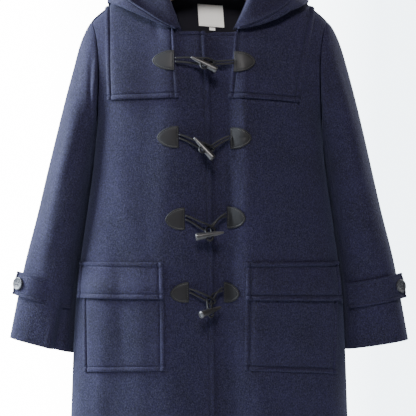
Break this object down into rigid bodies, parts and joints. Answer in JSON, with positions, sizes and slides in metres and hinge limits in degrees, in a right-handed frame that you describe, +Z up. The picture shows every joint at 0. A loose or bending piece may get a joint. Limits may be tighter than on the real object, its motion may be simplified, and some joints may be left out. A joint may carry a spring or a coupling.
{
  "type": "duffle coat on a hanger",
  "caption": "Hooded knee-short duffle coat in navy melton wool with storm yokes, flap patch pockets, strapped cuffs and toggle closures, hung fastened on a wooden hanger.",
  "frame": {"origin": "the inside of the hanger hook's bend, where it rests on a rail; the coat hangs below it", "axes": "+Z up, -Y out of the coat's front, +X to the wearer's left; metres"},
  "size_m": [0.7094, 0.2555, 0.974],
  "materials": {
    "melton": "dense brushed wool melton, deep navy, soft low sheen",
    "lining": "smooth plain-woven lining, near-black navy",
    "leather": "smooth black leather, soft shine, fine grain",
    "cord": "round black leather cord, soft shine",
    "horn": "polished dark horn-look resin",
    "button_horn": "polished marbled grey-black resin",
    "label": "woven off-white tape, unprinted",
    "wood": "satin varnished pale beech",
    "steel": "bright plated steel wire"
  },
  "bodies": {
    "root": {"front_right": "melton", "front_left": "melton", "back": "melton", "yoke_front_right": "melton", "yoke_front_left": "melton", "yoke_back": "melton", "sleeve_upper_right": "melton", "sleeve_under_right": "melton", "sleeve_upper_left": "melton", "sleeve_under_left": "melton", "pocket_right": "melton", "pocket_flap_right": "melton", "pocket_left": "melton", "pocket_flap_left": "melton", "cuff_strap_right": "melton", "cuff_button_right": "button_horn", "cuff_strap_left": "melton", "cuff_button_left": "button_horn", "hood_right": "melton", "hood_left": "melton", "toggle_tab_right_1": "leather", "toggle_tab_left_1": "leather", "toggle_loop_1": "cord", "toggle_1": "horn", "toggle_cord_1": "cord", "toggle_tab_right_2": "leather", "toggle_tab_left_2": "leather", "toggle_loop_2": "cord", "toggle_2": "horn", "toggle_cord_2": "cord", "toggle_tab_right_3": "leather", "toggle_tab_left_3": "leather", "toggle_loop_3": "cord", "toggle_3": "horn", "toggle_cord_3": "cord", "toggle_tab_right_4": "leather", "toggle_tab_left_4": "leather", "toggle_loop_4": "cord", "toggle_4": "horn", "toggle_cord_4": "cord", "back_neck_facing": "lining", "neck_label": "label", "size_tab": "label", "hanger_wood": "wood", "hanger_hook": "steel"}
  },
  "joints": []
}
